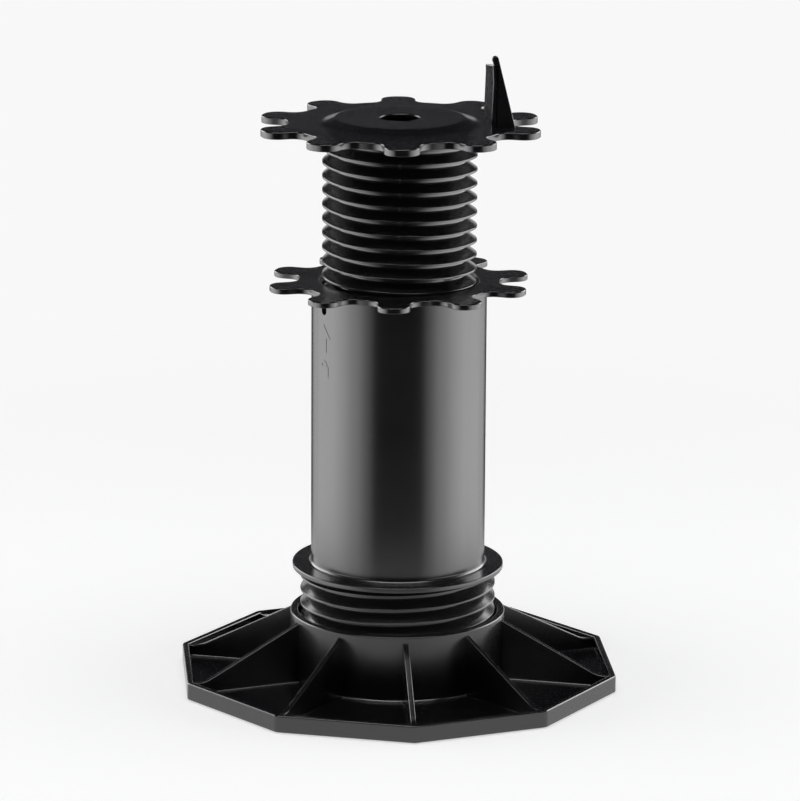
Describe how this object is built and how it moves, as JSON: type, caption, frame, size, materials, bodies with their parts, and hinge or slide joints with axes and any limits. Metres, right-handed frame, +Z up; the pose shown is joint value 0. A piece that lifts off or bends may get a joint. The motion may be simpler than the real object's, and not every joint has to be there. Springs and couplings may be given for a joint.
{
  "type": "raised floor pedestal",
  "caption": "Screw-adjustable plastic support pedestal with a ribbed ten-sided base, extension tube, lobed adjusting nut and lobed head with a joist tab.",
  "frame": {"origin": "the post's axis at the underside of the base", "axes": "+Z up along the post's axis; -Y is the front, and the joist tab is on the +X side of the head"},
  "size_m": [0.2012, 0.206, 0.2936],
  "materials": {
    "base_plastic": "satin moulded black",
    "tube_plastic": "satin moulded black",
    "nut_plastic": "satin moulded black",
    "head_plastic": "satin moulded black"
  },
  "bodies": {
    "base": {"base": "base_plastic"},
    "tube": {"extension_tube": "tube_plastic"},
    "nut": {"adjusting_nut": "nut_plastic"},
    "head": {"head": "head_plastic"}
  },
  "joints": [
    {"name": "tube_rise", "type": "slide", "parent": "base", "child": "tube", "axis": [0, 0, 1], "range_m": [-0.02, 0.003]},
    {"name": "nut_turn", "type": "hinge", "parent": "tube", "child": "nut", "pos_m": [0, 0, 0.1857], "axis": [0, 0, 1], "range_deg": [-3780, 810]},
    {"name": "head_rise", "type": "slide", "parent": "tube", "child": "head", "axis": [0, 0, 1], "range_m": [-0.0687, 0.0147]}
  ],
  "couplings": [
    {"joint": "nut_turn", "follows": "head_rise", "rad_per_m": 959.26}
  ]
}
